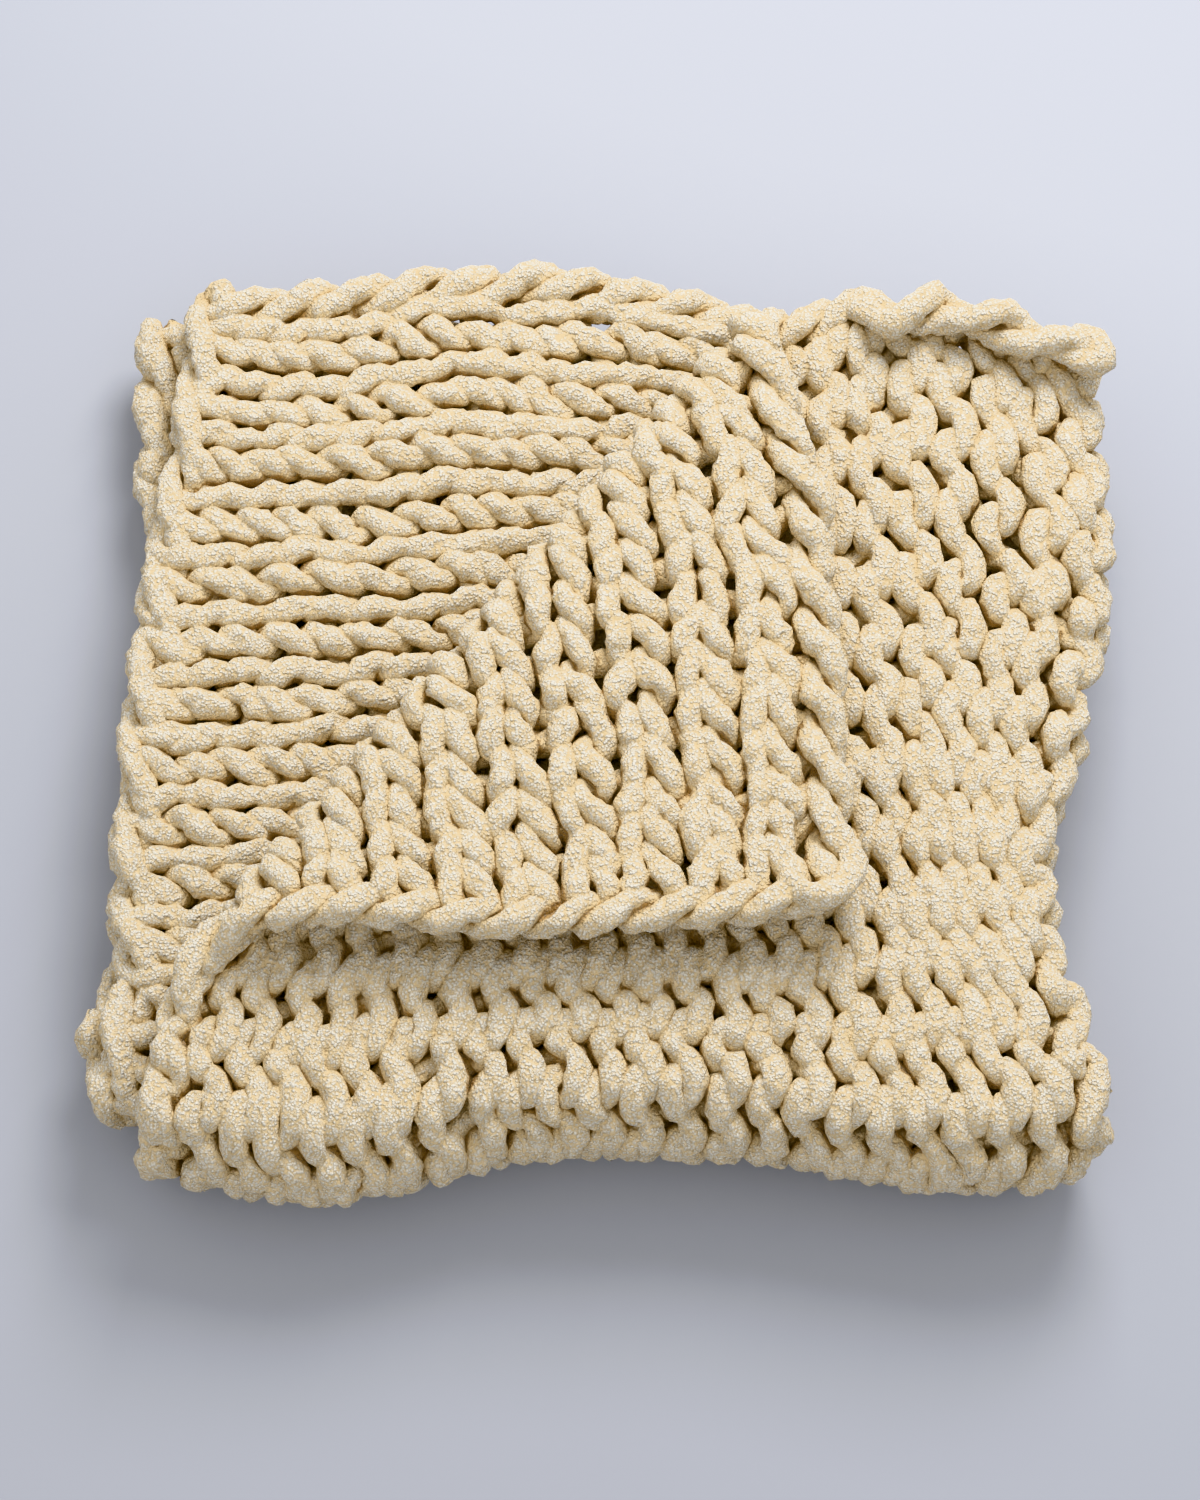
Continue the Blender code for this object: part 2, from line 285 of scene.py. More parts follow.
# ---------------------------------------------------------------- the knit in the flat cloth
COURSES = 46
BEND_COURSES = 1.8
TOP_COURSES = (COURSES - BEND_COURSES) / 2
WALES = 27
OUTER_BEND_WALES = 3.2
INNER_BEND_WALES = 1.2
TOP_WALES = (WALES - OUTER_BEND_WALES) / 2
COURSE_PITCH = 0.028
WALE_PITCH = 0.046
CAST_INSET = 0.032
SELVEDGE_INSET = 0.036
INNER_SELVEDGE_INSET = 0.024
SETTLE_PASSES = 3


def along_lines(number, first, last, fold, bend, near, bent):
    """The place of a course or wale between the cloth's two free edges."""
    way = 1 if last > first else -1
    if number <= near:
        return mix(first, fold, number / near)
    if number <= near + bent:
        return fold + way * bend * (number - near) / bent
    return mix(fold + way * bend, last, (number - near - bent) / near)


def flat_spot(course, wale):
    """The flat place of a course and a wale, settled against both uneven edges."""
    u, v = 0.0, 0.0
    for _ in range(SETTLE_PASSES):
        u = along_lines(course, left_limit(v) + CAST_INSET, right_limit(v) - CAST_INSET,
                        FOLD_U, RIGHT_BEND, TOP_COURSES, BEND_COURSES)
        inner = ease((u - FOLD_U) / RIGHT_BEND)
        bent = mix(OUTER_BEND_WALES, INNER_BEND_WALES, inner)
        inset = mix(SELVEDGE_INSET, INNER_SELVEDGE_INSET, inner)
        v = along_lines(wale, back_limit(u) - inset, front_limit(u) + inset,
                        FOLD_V, FRONT_BEND, (WALES - bent) / 2, bent)
    return u, v


Field = namedtuple("Field", "courses wales layer")

# How quickly each kind of unevenness changes along the courses and wales, and its own layer
LOOP_FIELD = Field(0.9, 0.9, 3.0)
EACH_FIELD = Field(3.7, 1.4, 5.0)
DRIFT_FIELD = Field(0.22, 0.30, 7.0)
RIPPLE_FIELD = Field(0.62, 0.9, 17.0)
STRAND_FIELD = Field(1.3, 1.3, 11.0)

# How unevenly the loops are knitted: shares of a size, courses, wales, or metres of height
FIELDS_APART = 37.0
SIZE_VARIES = 0.14
LEAN_VARIES = 0.5
LEAN_EACH = 0.45
SWING_VARIES = 0.3
SWING_EACH = 0.4
EACH_STRENGTH = 1.5
COURSE_DRIFT = 0.34
COURSE_RIPPLE = 0.26
COURSE_EACH = 0.18
WALE_DRIFT = 0.18
WALE_RIPPLE = 0.18
HEIGHT_DRIFT = 0.003
BUMPY_LOOSE = 0.7
SMOOTH_FLATTER = 0.10
UNDER_UNPAIRED = 0.6


def in_field(field, course, wale):
    """Where a place in the flat cloth lies in a field of unevenness."""
    return Vector((course * field.courses, wale * field.wales, field.layer))


def wander(spot):
    """Three values that change smoothly from place to place, each from about -1 to 1."""
    return Vector([noise.noise(spot + Vector((FIELDS_APART * k, 0, 0))) for k in range(3)])


def shows_smooth_side(course, wale):
    """1 where the cloth lies smooth side up, in the second layer and the turned corner."""
    under = ease((course - TOP_COURSES) / BEND_COURSES)
    if course > TOP_COURSES or wale > TOP_WALES:
        return under
    u, v = flat_spot(course, wale)
    return max(under, ease(past_turn(u, v) / TURN_BEND))


def knit_point(knit, course, theta):
    """Course, wale and height of a strand at an angle along its course."""
    wale = theta / math.tau
    spot = in_field(LOOP_FIELD, course, wale)
    each = wander(in_field(EACH_FIELD, course, wale)) * EACH_STRENGTH
    size = 1 + SIZE_VARIES * noise.noise(spot * 1.3)
    under = ease((course - TOP_COURSES) / BEND_COURSES)
    smooth = shows_smooth_side(course, wale)
    lean = mix(knit.lean, knit.smooth_lean, smooth) * (1 - 2 * under)
    lean *= 1 + LEAN_VARIES * noise.noise(spot + Vector((9, 0, 0))) + LEAN_EACH * each.x
    swing = mix(knit.swing, knit.smooth_swing, smooth)
    swing *= 1 + SWING_VARIES * noise.noise(spot + Vector((0, 9, 0))) + SWING_EACH * each.y
    drift = wander(in_field(DRIFT_FIELD, course, wale))
    c = course + knit.reach * size * math.cos(theta)
    w = wale + swing * math.sin(2 * theta) + lean * math.cos(theta)
    w += knit.pairing * smooth * (1 - UNDER_UNPAIRED * under) * math.sin(theta)
    ripple = wander(in_field(RIPPLE_FIELD, c, w))
    loose = BUMPY_LOOSE + (1 - BUMPY_LOOSE) * smooth
    c += loose * (COURSE_DRIFT * drift.x + COURSE_RIPPLE * ripple.x + COURSE_EACH * each.z)
    w += loose * (WALE_DRIFT * drift.y + WALE_RIPPLE * ripple.y)
    level = mix(-knit.level, knit.level, smooth)
    m = knit.relief * (math.cos(2 * theta) + level * math.cos(4 * theta))
    m *= 1 - SMOOTH_FLATTER * smooth
    m += HEIGHT_DRIFT * drift.z + HEIGHT_DRIFT * ripple.z
    return c, w, m


PAIR_SHIFT = 0.22
LEAD_FAR = 0.38
LEAD_NEAR = 0.20
BACK_LEAD_SHORTER = 0.65
PAST_RIGHT_FOLD = TOP_COURSES + BEND_COURSES
EASING_COURSES = 3


def lead_out(knit, course, side):
    """Where a course runs out to its selvedge, in pairs: course, wale and height."""
    theta = 0.0 if side == 0 else math.tau * WALES
    c, w, m = knit_point(knit, course, theta)
    pair = PAIR_SHIFT if course % 2 == 0 else -PAIR_SHIFT
    outward = -1 if side == 0 else 1
    if side == 0:
        outward *= 1 - BACK_LEAD_SHORTER * ease((course - PAST_RIGHT_FOLD) / EASING_COURSES)
    return [(c + pair, w + outward * LEAD_FAR, m * 0.1),
            (c + 0.7 * pair, w + outward * LEAD_NEAR, m * 0.5)]


Bead = namedtuple("Bead", "spot share")

FLOOR_NEAR = 0.02
FLOOR_SOFTNESS = 0.003


def lay(knit, c, w, m, share):
    """One bead of a strand in its folded place, kept above the floor."""
    u, v = flat_spot(c, w)
    spot = place(u, v, m)
    low = knit.strand
    if spot.z < low + FLOOR_NEAR:
        spot.z = low + FLOOR_SOFTNESS * math.log1p(math.exp((spot.z - low) / FLOOR_SOFTNESS))
    return Bead(spot, share)


# How finely a strand is built: its beads in each stitch, and the rings of its round section
FINE, RIM, HIDDEN = 36, 20, 12
RINGS = {FINE: 6, RIM: 3, HIDDEN: 1}
TURN_COVERS = 0.02
CORNER_UNCOVERS = 0.045
COVER_MARGIN = 0.05
SHADE_REACHES = (0.004, 0.009, 0.016)
REGIONS = ("top_layer", "turned_corner", "right_fold", "second_layer", "front_fold",
           "lower_layers")


def detail_of(course, wale):
    """How finely a stitch is built, by how well it is seen."""
    top = course < TOP_COURSES + 1
    if wale > TOP_WALES - 0.5 and wale < TOP_WALES + OUTER_BEND_WALES + 0.7:
        return FINE if top else (FINE if course > COURSES - 2.5 else HIDDEN)
    if wale <= TOP_WALES:
        if TOP_COURSES - 0.5 < course < TOP_COURSES + BEND_COURSES + 1:
            return FINE
        u, v = flat_spot(course, wale)
        if top:
            if past_turn(u, v) > -TURN_COVERS:
                return FINE
            return HIDDEN if hidden_by_corner(u, v) else FINE
        x = 2 * FOLD_U + RIGHT_BEND - u
        if past_turn(x, v) > -CORNER_UNCOVERS or course > COURSES - 3:
            return FINE
        return RIM if wale < 1.5 else HIDDEN
    near = min(WALES - wale, COURSES - course, course)
    if near < 1.6 or TOP_COURSES - 0.5 < course < TOP_COURSES + BEND_COURSES + 0.5:
        return RIM
    return HIDDEN


def hidden_by_corner(u, v):
    """Whether the turned corner lies over this place of the top layer."""
    past = past_turn(u, v)
    twin = Vector((u, v)) - TURN_ACROSS * (2 * past - TURN_BEND)
    return (past < -TURN_COVERS and twin.x > left_limit(twin.y) + COVER_MARGIN
            and twin.y < back_limit(twin.x) - COVER_MARGIN)


def region_of(course, wale):
    """The name of the piece that holds this part of the cloth."""
    if wale > TOP_WALES - 0.5:
        if wale > TOP_WALES + OUTER_BEND_WALES + 0.5 or course > TOP_COURSES + 1:
            return "lower_layers"
        return "front_fold"
    if course > TOP_COURSES + BEND_COURSES + 1:
        return "second_layer"
    if course > TOP_COURSES - 0.5:
        return "right_fold"
    u, v = flat_spot(course, wale)
    return "turned_corner" if past_turn(u, v) > 0 else "top_layer"


RUN_OVERLAP = 0.25


def knit_runs(region):
    """The strands of one region as runs of angles of one detail each."""
    runs = {FINE: [], RIM: [], HIDDEN: []}
    for number in range(COURSES + 1):
        run, state = [], None
        for k in range(2 * WALES):
            wale = (k + 0.5) / 2
            here = (region_of(number, wale), detail_of(number, wale))
            if here != state:
                if state and state[0] == region:
                    run.append(math.pi * k + RUN_OVERLAP)
                    runs[state[1]].append((number, run))
                run, state = [], here
                if here[0] == region:
                    run.append(max(math.pi * k - RUN_OVERLAP, 0.0))
            if here[0] == region:
                steps = here[1] // 2
                run += [math.pi * (k + j / steps) for j in range(steps)]
        if state[0] == region:
            run.append(math.tau * WALES)
            runs[state[1]].append((number, run))
    return runs


# ---------------------------------------------------------------- strands as meshes
TIPS = (0.45, 0.8, 0.95)
LUMP_SIZE = 0.010
TUFT_SIZE = 0.0058
TUFT_SHARE = 0.45


def strand_curve(name, paths, radius, rings):
    """Round strands along several paths, joined in one mesh object."""
    curve = bpy.data.curves.new(name, "CURVE")
    curve.dimensions = "3D"
    curve.bevel_depth = radius
    curve.bevel_resolution = rings
    curve.use_fill_caps = True
    for path in paths:
        spline = curve.splines.new("POLY")
        spline.points.add(len(path) - 1)
        last = len(path) - 1
        for k, bead in enumerate(path):
            end = min(k, last - k)
            tip = TIPS[end] if end < len(TIPS) else 1.0
            spline.points[k].co = (*bead.spot, 1.0)
            spline.points[k].radius = bead.share * tip
    holder = bpy.data.objects.new(name, curve)
    bpy.context.scene.collection.objects.link(holder)
    bpy.context.view_layer.update()
    shaped = holder.evaluated_get(bpy.context.evaluated_depsgraph_get())
    mesh = bpy.data.meshes.new_from_object(shaped)
    bpy.data.objects.remove(holder)
    bpy.data.curves.remove(curve)
    return mesh


def add_shade(mesh, knit):
    """Give each point of the skin its openness, from 0 where other strands close it in to 1. The
    yarn's colour paints shade on the flanks and in the crevices by it.
    """
    tree = strand_tree(knit)
    shade = mesh.attributes.new("openness", "FLOAT", "POINT")
    values = []
    for vertex in mesh.vertices:
        room = 0.0
        for reach in SHADE_REACHES:
            near = tree.find(vertex.co + vertex.normal * reach)[2]
            room += ease((near - knit.strand) / reach)
        values.append(room / len(SHADE_REACHES))
    shade.data.foreach_set("value", values)


def add_lumps(mesh, knit):
    """Push the strand's skin in and out, as its pile stands unevenly."""
    places = []
    for vertex in mesh.vertices:
        push = noise.noise(vertex.co / LUMP_SIZE)
        push += TUFT_SHARE * noise.noise(vertex.co / TUFT_SIZE + Vector((5, 5, 5)))
        spot = vertex.co + vertex.normal * (knit.lump * push)
        places += [spot.x, spot.y, max(spot.z, 0.0)]
    mesh.vertices.foreach_set("co", places)
    mesh.update()


def join(name, meshes):
    """One smooth object of several meshes, which are used up."""
    bm = bmesh.new()
    for mesh in meshes:
        bm.from_mesh(mesh)
        bpy.data.meshes.remove(mesh)
    joined = bpy.data.meshes.new(name)
    bm.to_mesh(joined)
    bm.free()
    joined.shade_smooth()
    piece = bpy.data.objects.new(name, joined)
    bpy.context.scene.collection.objects.link(piece)
    return piece


def finish_piece(piece):
    """Give a piece its yarn, and tie it to the solid's body."""
    piece.data.materials.clear()
    piece.data.materials.append(yarn_material())
    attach(piece, BODY)
    return piece


KnitValues = namedtuple(
    "KnitValues",
    "strand relief reach swing lean smooth_swing smooth_lean pairing level lump")
STRAND_SHARE = 0.97
STRAND_VARIES = 0.16


def knit_values():
    """The knit's settings as plain values, so that cached strands follow a change to them."""
    settings = bpy.context.scene.blanket_knit
    return KnitValues(*[getattr(settings, field) for field in KnitValues._fields])


@functools.lru_cache
def region_paths(knit, region):
    """The beads of every strand in one region, by detail."""
    found = {}
    for detail, runs in knit_runs(region).items():
        found[detail] = [lay_run(knit, number, angles) for number, angles in runs]
    return found


def lay_run(knit, number, angles):
    """The beads of one stretch of a course, led out to the side edges at its ends."""
    spots = [(knit_point(knit, number, theta), theta) for theta in angles]
    if angles[0] == 0.0:
        spots = [(spot, 0.0) for spot in lead_out(knit, number, 0)] + spots
    if angles[-1] == math.tau * WALES:
        spots += [(spot, 0.0) for spot in reversed(lead_out(knit, number, 1))]
    path = []
    for (c, w, m), theta in spots:
        share = STRAND_SHARE + 0.04 * math.cos(2 * theta) + 0.06 * math.cos(4 * theta)
        share += STRAND_VARIES * noise.noise(in_field(STRAND_FIELD, c, w))
        path.append(lay(knit, c, w, m, share))
    return path


@functools.lru_cache
def strand_tree(knit):
    """Every bead of the knit, for finding how near the strands lie."""
    beads = [bead for region in REGIONS for paths in region_paths(knit, region).values()
             for path in paths for bead in path]
    beads += [bead for border in BORDERS for path in border_paths(knit, border) for bead in path]
    tree = KDTree(len(beads))
    for number, bead in enumerate(beads):
        tree.insert(bead.spot, number)
    tree.balance()
    return tree


def knit_region(region):
    """Knit one region of the cloth as a finished piece."""
    knit = knit_values()
    meshes = []
    for detail, paths in region_paths(knit, region).items():
        if paths:
            mesh = strand_curve(region, paths, knit.strand, RINGS[detail])
            add_shade(mesh, knit)
            add_lumps(mesh, knit)
            meshes.append(mesh)
    return finish_piece(join(region + "_knit", meshes))


Border = namedtuple("Border", "name across begin end lay twist plies spread share")

# The free edges: which line of the knit they follow, and how they twist
BORDERS = (
    Border("cast_off_edge", "course", -0.6, WALES + 0.6, 1.7, 1, 2, 0.0074, 0.90),
    Border("cast_on_edge", "course", -0.6, WALES + 0.6, 2.9, -1, 2, 0.0082, 1.0),
    Border("back_selvedge", "wale", -0.8, COURSES + 0.8, 3.0, -1, 2, 0.0088, 1.0),
    Border("front_selvedge", "wale", -0.8, COURSES + 0.8, 3.0, -1, 2, 0.0088, 1.0),
)

CAST_OFF_TURN_WALES = 10.0
BORDER_RINGS = 5
BORDER_BEAD_STEP = 0.0036
BORDER_VARIES = 0.16
BORDER_WANDER_OUT = 0.006
BORDER_WANDER_ALONG = 0.3
EDGE_GAP = 0.45
SELVEDGE_GAP = 0.40
INNER_SELVEDGE_GAP = 0.12
# The end of the yarn at the cast-off edge: a part turn, in courses and wales, angles in degrees
TAIL_MIDDLE = (-0.35, -0.25)
TAIL_REACH = (0.75, 0.5)
TAIL_SINKS = 0.006
TAIL_SHARE = 0.95
TAIL_START = 70
TAIL_STEP = 10
TAIL_BEADS = 30


def border_point(border, along, turn):
    """A point of an edge strand: it twists with its twin just outside the last stitches."""
    out = border.spread * math.cos(turn)
    m = border.spread * math.sin(turn)
    wave = wander(Vector((along * 0.5, 31.0 + len(border.name), 2.0)))
    out += BORDER_WANDER_OUT * wave.x
    along += BORDER_WANDER_ALONG * wave.y
    if border.name == "cast_off_edge":
        turned = 1 - ease((along - CAST_OFF_TURN_WALES) / 2)
        return -EDGE_GAP - EDGE_GAP * turned - out / COURSE_PITCH, along, m
    if border.name == "cast_on_edge":
        return COURSES + EDGE_GAP + out / COURSE_PITCH, along, m
    gap = mix(SELVEDGE_GAP, INNER_SELVEDGE_GAP, ease((along - PAST_RIGHT_FOLD) / EASING_COURSES))
    if border.name == "back_selvedge":
        past_fold = (along - TOP_COURSES) / BEND_COURSES
        closed = 0.5 * ease(2 * past_fold + 1.5) * ease(3.5 - 2 * past_fold)
        return along, -gap - (1 - closed) * out / WALE_PITCH, (1 - closed) * m
    return along, WALES + gap + out / WALE_PITCH, m


@functools.lru_cache
def border_paths(knit, border):
    """The beads of the strands that twist together along one free edge."""
    pitch = WALE_PITCH if border.across == "course" else COURSE_PITCH
    steps = int((border.end - border.begin) * pitch / BORDER_BEAD_STEP)
    paths = []
    for twin in range(border.plies):
        path = []
        for k in range(steps + 1):
            along = mix(border.begin, border.end, k / steps)
            turn = border.twist * math.tau * along / border.lay + math.tau * twin / border.plies
            c, w, m = border_point(border, along, turn)
            varied = noise.noise(Vector((along * 2, 5.0, twin * 7.0)))
            share = border.share + BORDER_VARIES * varied
            path.append(lay(knit, c, w, m, share))
        paths.append(path)
    if border.name == "cast_off_edge":
        paths.append([tail_bead(knit, math.radians(TAIL_START + TAIL_STEP * k))
                      for k in range(TAIL_BEADS)])
    return paths


def tail_bead(knit, angle):
    """One bead of the yarn's end, which turns round the corner of the cast-off edge."""
    c = TAIL_MIDDLE[0] + TAIL_REACH[0] * math.cos(angle)
    w = TAIL_MIDDLE[1] + TAIL_REACH[1] * math.sin(angle)
    return lay(knit, c, w, -TAIL_SINKS + TAIL_SINKS * math.cos(angle), TAIL_SHARE)


def knit_border(border):
    """Knit one free edge as a finished piece."""
    knit = knit_values()
    mesh = strand_curve(border.name, border_paths(knit, border), knit.strand, BORDER_RINGS)
    add_shade(mesh, knit)
    add_lumps(mesh, knit)
    return finish_piece(join(border.name, [mesh]))


# ---------------------------------------------------------------- materials
TUFT_SCALE = 440
TUFT_EDGE, TUFT_HEART = 0.80, 0.10
TUFT_STANDING = 0.6
FIBRE_SCALE = 700
FIBRE_STRAY = 0.0016
LUMP_SCALE = 150
LUMP_IN_PILE = 0.9
LUMP_IN_BUMP = 2.2
PATCH_SCALE = 45
PATCH_STRENGTH = 0.10
PILE_LOW, PILE_HIGH = 1.05, 2.30
# Openness over which the painted flank shade fades out, and openness where the painted crevice
# shade ends
CLOSED_IN, WIDE_OPEN = 0.05, 0.95
CREVICE_SHADE_END = 0.16
PILE_HEIGHT = 0.0021
YARN_ROUGHNESS = 0.95
YARN_SPECULAR = 0.1
SHEEN_WEIGHT = 0.4
SHEEN_ROUGHNESS = 0.35
SHEEN_TINT = (1.0, 0.90, 0.70, 1.0)
FLOOR_ROUGHNESS = 0.8
FLOOR_SPECULAR = 0.2


def yarn_material():
    """The velvety yarn: tufts of pile, paler at their tips, with painted shade between the tufts,
    on the strands' flanks and deep between the strands.
    """
    name = "velvety_cream_yarn"
    if name in bpy.data.materials:
        return bpy.data.materials[name]
    colours = bpy.context.scene.blanket_colours
    material = bpy.data.materials.new(name)
    material.use_nodes = True
    nodes, links = material.node_tree.nodes, material.node_tree.links
    shader = nodes["Principled BSDF"]
    coords = nodes.new("ShaderNodeTexCoord")

    def noise_of(scale, detail, roughness):
        texture = nodes.new("ShaderNodeTexNoise")
        texture.inputs["Scale"].default_value = scale
        texture.inputs["Detail"].default_value = detail
        texture.inputs["Roughness"].default_value = roughness
        links.new(coords.outputs["Object"], texture.inputs["Vector"])
        return texture

    def maths(operation, first, second):
        node = nodes.new("ShaderNodeMath")
        node.operation = operation
        for socket, value in zip(node.inputs, (first, second)):
            if isinstance(value, (int, float)):
                socket.default_value = value
            else:
                links.new(value, socket)
        return node.outputs["Value"]

    def blend(factor, first, second):
        node = nodes.new("ShaderNodeMix")
        node.data_type = "RGBA"
        links.new(factor, node.inputs["Factor"])
        for key, value in (("A", first), ("B", second)):
            if isinstance(value, bpy.types.NodeSocket):
                links.new(value, node.inputs[key])
            else:
                node.inputs[key].default_value = value
        return node.outputs["Result"]

    def eased(value, low, high):
        node = nodes.new("ShaderNodeMapRange")
        node.interpolation_type = "SMOOTHSTEP"
        node.inputs["From Min"].default_value = low
        node.inputs["From Max"].default_value = high
        links.new(value, node.inputs["Value"])
        return node.outputs["Result"]

    openness = nodes.new("ShaderNodeAttribute")
    openness.attribute_name = "openness"
    stray = noise_of(FIBRE_SCALE, 2, 0.6)
    strayed = nodes.new("ShaderNodeVectorMath")
    strayed.operation = "MULTIPLY_ADD"
    strayed.inputs[1].default_value = (FIBRE_STRAY, FIBRE_STRAY, FIBRE_STRAY)
    links.new(stray.outputs["Color"], strayed.inputs[0])
    links.new(coords.outputs["Object"], strayed.inputs[2])
    tufts = nodes.new("ShaderNodeTexVoronoi")
    tufts.inputs["Scale"].default_value = TUFT_SCALE
    links.new(strayed.outputs["Vector"], tufts.inputs["Vector"])
    standing = maths("MULTIPLY", tufts.outputs["Color"], TUFT_STANDING)
    fibres = noise_of(FIBRE_SCALE, 2, 0.8)
    lumps = noise_of(LUMP_SCALE, 1, 0.5)
    patches = noise_of(PATCH_SCALE, 2, 0.5)
    pile = maths("ADD", eased(tufts.outputs["Distance"], TUFT_EDGE, TUFT_HEART), standing)
    pile = maths("ADD", pile, fibres.outputs["Fac"])
    pile = maths("ADD", pile, maths("MULTIPLY", lumps.outputs["Fac"], LUMP_IN_PILE))
    # The pile's colour, from the roots in its low places between tufts to the tips. It is partly
    # the yarn's own mottled tone and partly painted shade.
    shaded = blend(eased(pile, PILE_LOW, PILE_HIGH), colours.roots, colours.tips)
    patchy = maths("MULTIPLY", patches.outputs["Fac"], PATCH_STRENGTH)
    shaded = blend(patchy, shaded, colours.roots)
    # Painted shade by openness: the flank shade where other strands close the pile in, and the
    # crevice shade deepest between the strands
    flank_shade_mask = eased(openness.outputs["Fac"], CLOSED_IN, WIDE_OPEN)
    shaded = blend(flank_shade_mask, colours.flank_shade, shaded)
    crevice_shade_mask = eased(openness.outputs["Fac"], 0.0, CREVICE_SHADE_END)
    shaded = blend(crevice_shade_mask, colours.crevice_shade, shaded)
    links.new(shaded, shader.inputs["Base Color"])
    bump = nodes.new("ShaderNodeBump")
    bump.inputs["Strength"].default_value = 1.0
    bump.inputs["Distance"].default_value = PILE_HEIGHT
    lumpy = maths("MULTIPLY", lumps.outputs["Fac"], LUMP_IN_BUMP)
    links.new(maths("ADD", pile, lumpy), bump.inputs["Height"])
    links.new(bump.outputs["Normal"], shader.inputs["Normal"])
    shader.inputs["Roughness"].default_value = YARN_ROUGHNESS
    shader.inputs["Sheen Weight"].default_value = SHEEN_WEIGHT
    shader.inputs["Sheen Roughness"].default_value = SHEEN_ROUGHNESS
    shader.inputs["Sheen Tint"].default_value = SHEEN_TINT
    shader.inputs["Specular IOR Level"].default_value = YARN_SPECULAR
    return material


def floor_material(colour):
    material = bpy.data.materials.new("pale_floor")
    material.use_nodes = True
    shader = material.node_tree.nodes["Principled BSDF"]
    shader.inputs["Base Color"].default_value = colour
    shader.inputs["Roughness"].default_value = FLOOR_ROUGHNESS
    shader.inputs["Specular IOR Level"].default_value = FLOOR_SPECULAR
    return material


# ---------------------------------------------------------------- settings
class BlanketKnitSettings(bpy.types.PropertyGroup):
    """How the yarn is knitted"""
    strand: bpy.props.FloatProperty(
        name="Strand radius", description="Radius of the yarn", default=0.0103, unit="LENGTH")
    relief: bpy.props.FloatProperty(
        name="Relief", description="How far a strand swings off the cloth's middle",
        default=0.0078, unit="LENGTH")
    reach: bpy.props.FloatProperty(
        name="Loop reach", description="Half height of a loop in courses", default=0.77)
    swing: bpy.props.FloatProperty(
        name="Loop swing", description="How far a loop's legs bulge, in wales", default=0.20)
    lean: bpy.props.FloatProperty(
        name="Lean", description="How far the loops lean on the bumpy side, in wales",
        default=0.11)
    smooth_swing: bpy.props.FloatProperty(
        name="Smooth side swing", description="How far the legs bulge on the smooth side, in wales",
        default=0.19)
    smooth_lean: bpy.props.FloatProperty(
        name="Smooth side lean", description="How far the loops lean on the smooth side, in wales",
        default=0.08)
    pairing: bpy.props.FloatProperty(
        name="Pairing", description="How far a loop's legs close up on the smooth side, in wales",
        default=0.045)
    level: bpy.props.FloatProperty(
        name="Level", description="How far a loop lies level on the side that shows", default=0.2)
    lump: bpy.props.FloatProperty(
        name="Lumps", description="Unevenness of the yarn's pile", default=0.0036, unit="LENGTH")


class BlanketColours(bpy.types.PropertyGroup):
    """Colours of the yarn, and of the shade painted on it"""
    tips: bpy.props.FloatVectorProperty(
        name="Pile tips", description="Colour of the pile's tips", subtype="COLOR", size=4,
        default=(0.95, 0.92, 0.85, 1.0))
    # Partly painted shade: the darker colour of the pile's low places between tufts, which is also
    # the yarn's own mottled tone
    roots: bpy.props.FloatVectorProperty(
        name="Pile roots", description="Colour between the tufts", subtype="COLOR", size=4,
        default=(0.78, 0.61, 0.36, 1.0))
    # Painted shade: the colour laid on the pile where other strands close it in
    flank_shade: bpy.props.FloatVectorProperty(
        name="Flanks", description="Colour of the pile where strands close in", subtype="COLOR",
        size=4, default=(0.93, 0.73, 0.43, 1.0))
    # Painted shade: the colour laid deepest between the strands
    crevice_shade: bpy.props.FloatVectorProperty(
        name="Crevices", description="Colour deep between the strands", subtype="COLOR", size=4,
        default=(0.50, 0.31, 0.13, 1.0))


class BlanketStage(bpy.types.PropertyGroup):
    """Floor and light"""
    floor: bpy.props.FloatVectorProperty(
        name="Floor", description="Colour of the floor", subtype="COLOR", size=4,
        default=(0.355, 0.372, 0.43, 1.0))
    key: bpy.props.FloatProperty(
        name="Key light", description="Power of the window light", default=65, unit="POWER")


# ---------------------------------------------------------------- stage values
FLOOR_HALF_SIDE = 30
LOOK_AT = Vector((0, 0, 0.06)) - STACK_CENTRE
KEY_PLACE = (0.52, 1.55, 1.70)
KEY_SIZE = 1.1
KEY_COLOUR = (1.0, 0.985, 0.96)
ROOM_COLOUR = (1.0, 0.985, 0.95, 1)
CAMERA_LENS = 85.5
CAMERA_ELEVATION = math.radians(72)
CAMERA_DISTANCE = 2.6


# ---------------------------------------------------------------- operators
class BLANKET_OT_top_layer(bpy.types.Operator):
    """Knit the part of the top layer that lies flat"""
    bl_idname = "blanket.top_layer"
    bl_label = "Top layer"

    def execute(self, context):
        piece = knit_region("top_layer")
        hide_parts(NODE)
        return {"FINISHED"}


class BLANKET_OT_turned_corner(bpy.types.Operator):
    """Knit the corner that is turned back"""
    bl_idname = "blanket.turned_corner"
    bl_label = "Turned corner"

    def execute(self, context):
        knit_region("turned_corner")
        return {"FINISHED"}


class BLANKET_OT_right_fold(bpy.types.Operator):
    """Knit the fold that joins the second layer to the top one"""
    bl_idname = "blanket.right_fold"
    bl_label = "Right fold"

    def execute(self, context):
        knit_region("right_fold")
        return {"FINISHED"}


class BLANKET_OT_second_layer(bpy.types.Operator):
    """Knit the second layer"""
    bl_idname = "blanket.second_layer"
    bl_label = "Second layer"

    def execute(self, context):
        knit_region("second_layer")
        return {"FINISHED"}


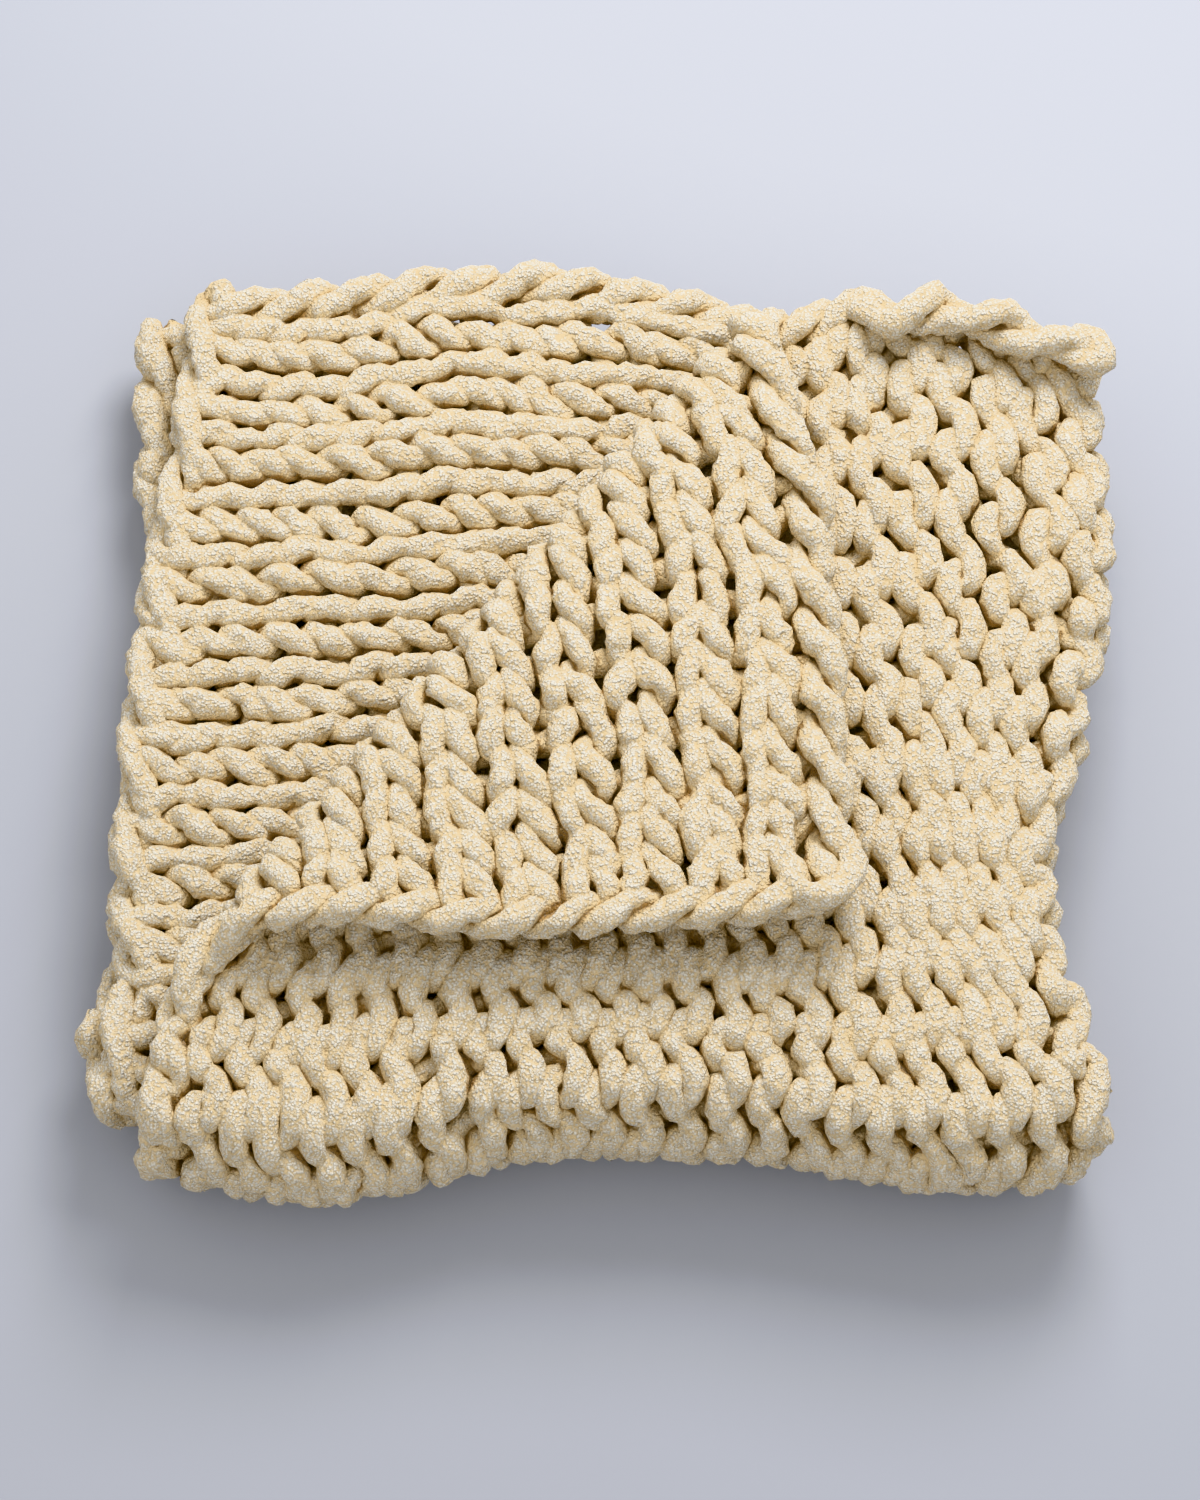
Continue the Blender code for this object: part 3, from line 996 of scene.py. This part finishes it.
class BLANKET_OT_front_fold(bpy.types.Operator):
    """Knit the fold that wraps the front of the stack"""
    bl_idname = "blanket.front_fold"
    bl_label = "Front fold"

    def execute(self, context):
        knit_region("front_fold")
        return {"FINISHED"}


class BLANKET_OT_lower_layers(bpy.types.Operator):
    """Knit the two lower layers"""
    bl_idname = "blanket.lower_layers"
    bl_label = "Lower layers"

    def execute(self, context):
        knit_region("lower_layers")
        return {"FINISHED"}


class BLANKET_OT_edges(bpy.types.Operator):
    """Knit the twisted strands along the four free edges"""
    bl_idname = "blanket.edges"
    bl_label = "Edges"

    def execute(self, context):
        for border in BORDERS:
            knit_border(border)
        return {"FINISHED"}


class BLANKET_OT_stage(bpy.types.Operator):
    """Add the floor, the light and the camera"""
    bl_idname = "blanket.stage"
    bl_label = "Stage"

    def execute(self, context):
        stage = context.scene.blanket_stage
        bm = bmesh.new()
        bmesh.ops.create_grid(bm, x_segments=1, y_segments=1, size=FLOOR_HALF_SIDE)
        mesh = bpy.data.meshes.new("floor")
        bm.to_mesh(mesh)
        bm.free()
        floor = bpy.data.objects.new("floor", mesh)
        mesh.materials.append(floor_material(stage.floor))
        context.scene.collection.objects.link(floor)
        add_key_light(context, stage.key)
        world = bpy.data.worlds.new("soft_room")
        world.use_nodes = True
        background = world.node_tree.nodes["Background"]
        background.inputs["Color"].default_value = ROOM_COLOUR
        background.inputs["Strength"].default_value = 1.0
        context.scene.world = world
        context.scene.view_settings.view_transform = "Khronos PBR Neutral"
        add_camera(context)
        return {"FINISHED"}


def add_key_light(context, power):
    """The soft window light, behind the blanket."""
    light = bpy.data.lights.new("key", "AREA")
    light.size = KEY_SIZE
    light.energy = power
    light.color = KEY_COLOUR
    lamp = bpy.data.objects.new("key", light)
    lamp.location = KEY_PLACE
    lamp.rotation_euler = (LOOK_AT - lamp.location).to_track_quat("-Z", "Y").to_euler()
    context.scene.collection.objects.link(lamp)


def add_camera(context):
    """A long lens, high above the front of the blanket."""
    lens = bpy.data.cameras.new("camera")
    lens.lens = CAMERA_LENS
    camera = bpy.data.objects.new("camera", lens)
    away = Vector((0, -math.cos(CAMERA_ELEVATION), math.sin(CAMERA_ELEVATION)))
    camera.location = LOOK_AT + CAMERA_DISTANCE * away
    camera.rotation_euler = (math.pi / 2 - CAMERA_ELEVATION, 0, 0)
    context.scene.collection.objects.link(camera)
    context.scene.camera = camera


class BLANKET_PT_panel(bpy.types.Panel):
    """Lists the blanket's pieces"""
    bl_idname = "BLANKET_PT_panel"
    bl_label = "Chunky knit blanket"
    bl_space_type = "VIEW_3D"
    bl_region_type = "UI"
    bl_category = "Blanket"

    def draw(self, context):
        for step in STEPS:
            self.layout.operator(step.bl_idname)


STEPS = (
    BLANKET_OT_top_layer, BLANKET_OT_turned_corner, BLANKET_OT_right_fold,
    BLANKET_OT_second_layer, BLANKET_OT_front_fold, BLANKET_OT_lower_layers,
    BLANKET_OT_edges, BLANKET_OT_stage,
)
CLASSES = (BlanketKnitSettings, BlanketColours, BlanketStage, *STEPS, BLANKET_PT_panel)


def register():
    for item in CLASSES:
        bpy.utils.register_class(item)
    bpy.types.Scene.blanket_knit = bpy.props.PointerProperty(type=BlanketKnitSettings)
    bpy.types.Scene.blanket_colours = bpy.props.PointerProperty(type=BlanketColours)
    bpy.types.Scene.blanket_stage = bpy.props.PointerProperty(type=BlanketStage)


def unregister():
    del bpy.types.Scene.blanket_stage
    del bpy.types.Scene.blanket_colours
    del bpy.types.Scene.blanket_knit
    for item in reversed(CLASSES):
        bpy.utils.unregister_class(item)


def main():
    register()
    bpy.ops.blanket.top_layer()
    bpy.ops.blanket.turned_corner()
    bpy.ops.blanket.right_fold()
    bpy.ops.blanket.second_layer()
    bpy.ops.blanket.front_fold()
    bpy.ops.blanket.lower_layers()
    bpy.ops.blanket.edges()
    bpy.ops.blanket.stage()


if __name__ == "__main__":
    main()
